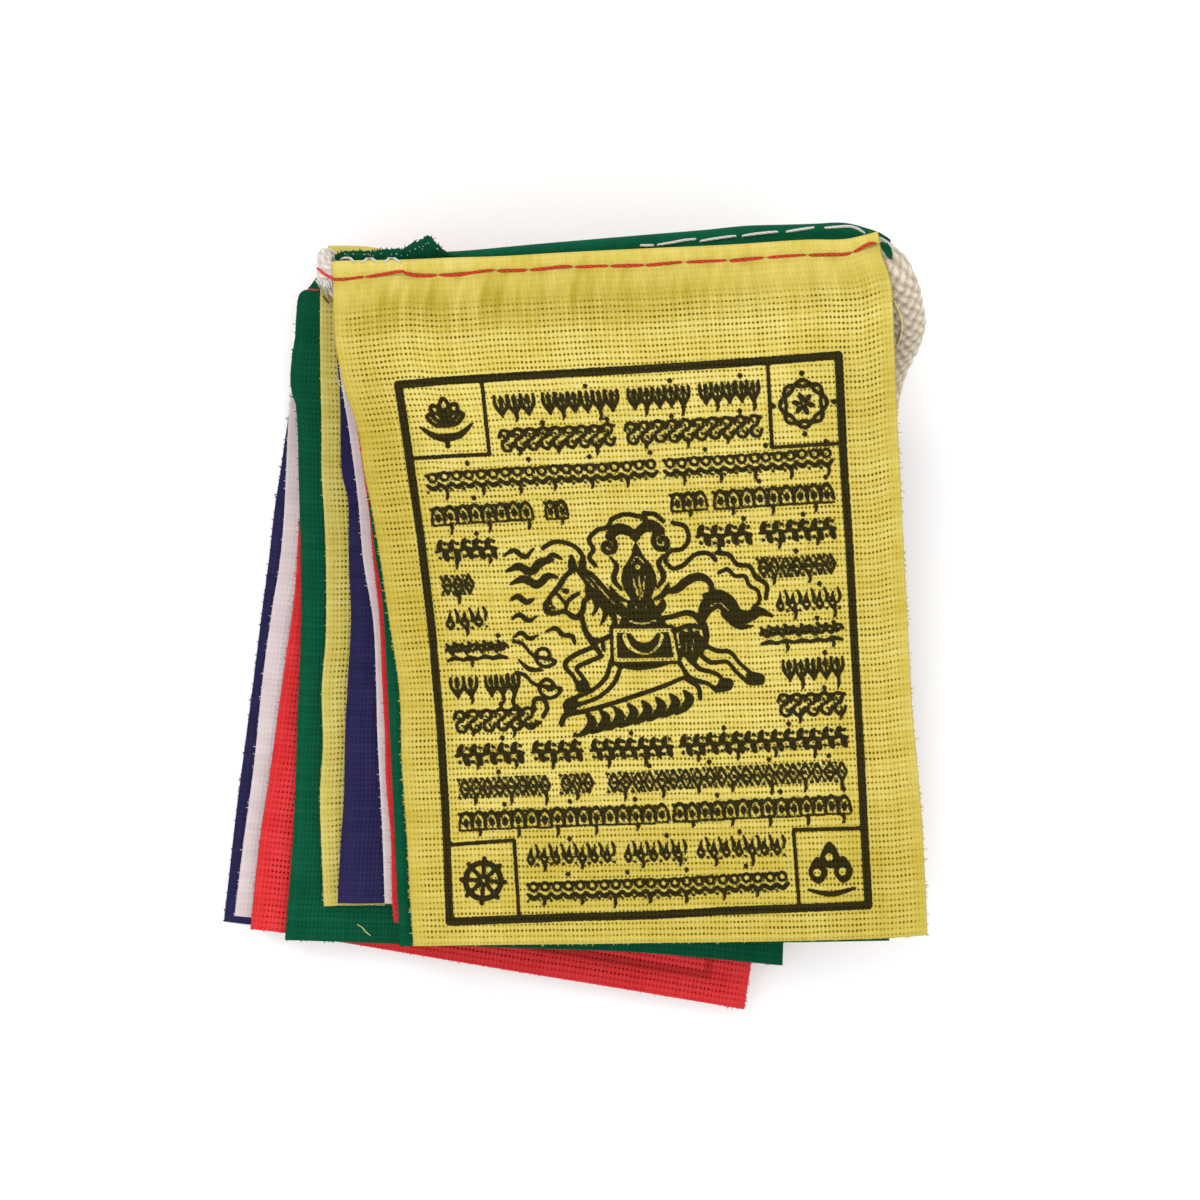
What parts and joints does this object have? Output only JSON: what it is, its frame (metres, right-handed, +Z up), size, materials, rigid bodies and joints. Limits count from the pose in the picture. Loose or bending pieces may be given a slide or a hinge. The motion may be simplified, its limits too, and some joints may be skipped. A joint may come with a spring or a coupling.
{
  "type": "folded string of prayer flags",
  "caption": "Small cotton flags sewn in a row along one braided cord and folded to and fro into a flat fanned pile.",
  "frame": {"origin": "middle of the pile's bounding box, on the surface it lies on", "axes": "+Z up through the pile, towards the front flag's printed face; +X along the headings to the right; +Y from the flags' lower hems to the headings"},
  "size_m": [0.0858, 0.096, 0.028],
  "materials": {
    "yellow_cotton": "coarse plain weave with a dark block print",
    "green_cotton": "coarse plain weave",
    "red_cotton": "coarse plain weave",
    "white_cotton": "coarse plain weave",
    "blue_cotton": "coarse plain weave",
    "white_cord": "soft braid"
  },
  "bodies": {
    "root": {"flag_01_yellow": "yellow_cotton", "flag_02_green": "green_cotton", "flag_03_red": "red_cotton", "flag_04_white": "white_cotton", "flag_05_blue": "blue_cotton", "flag_06_yellow": "yellow_cotton", "flag_07_green": "green_cotton", "flag_08_red": "red_cotton", "flag_09_white": "white_cotton", "flag_10_blue": "blue_cotton", "cord": "white_cord"}
  },
  "joints": []
}
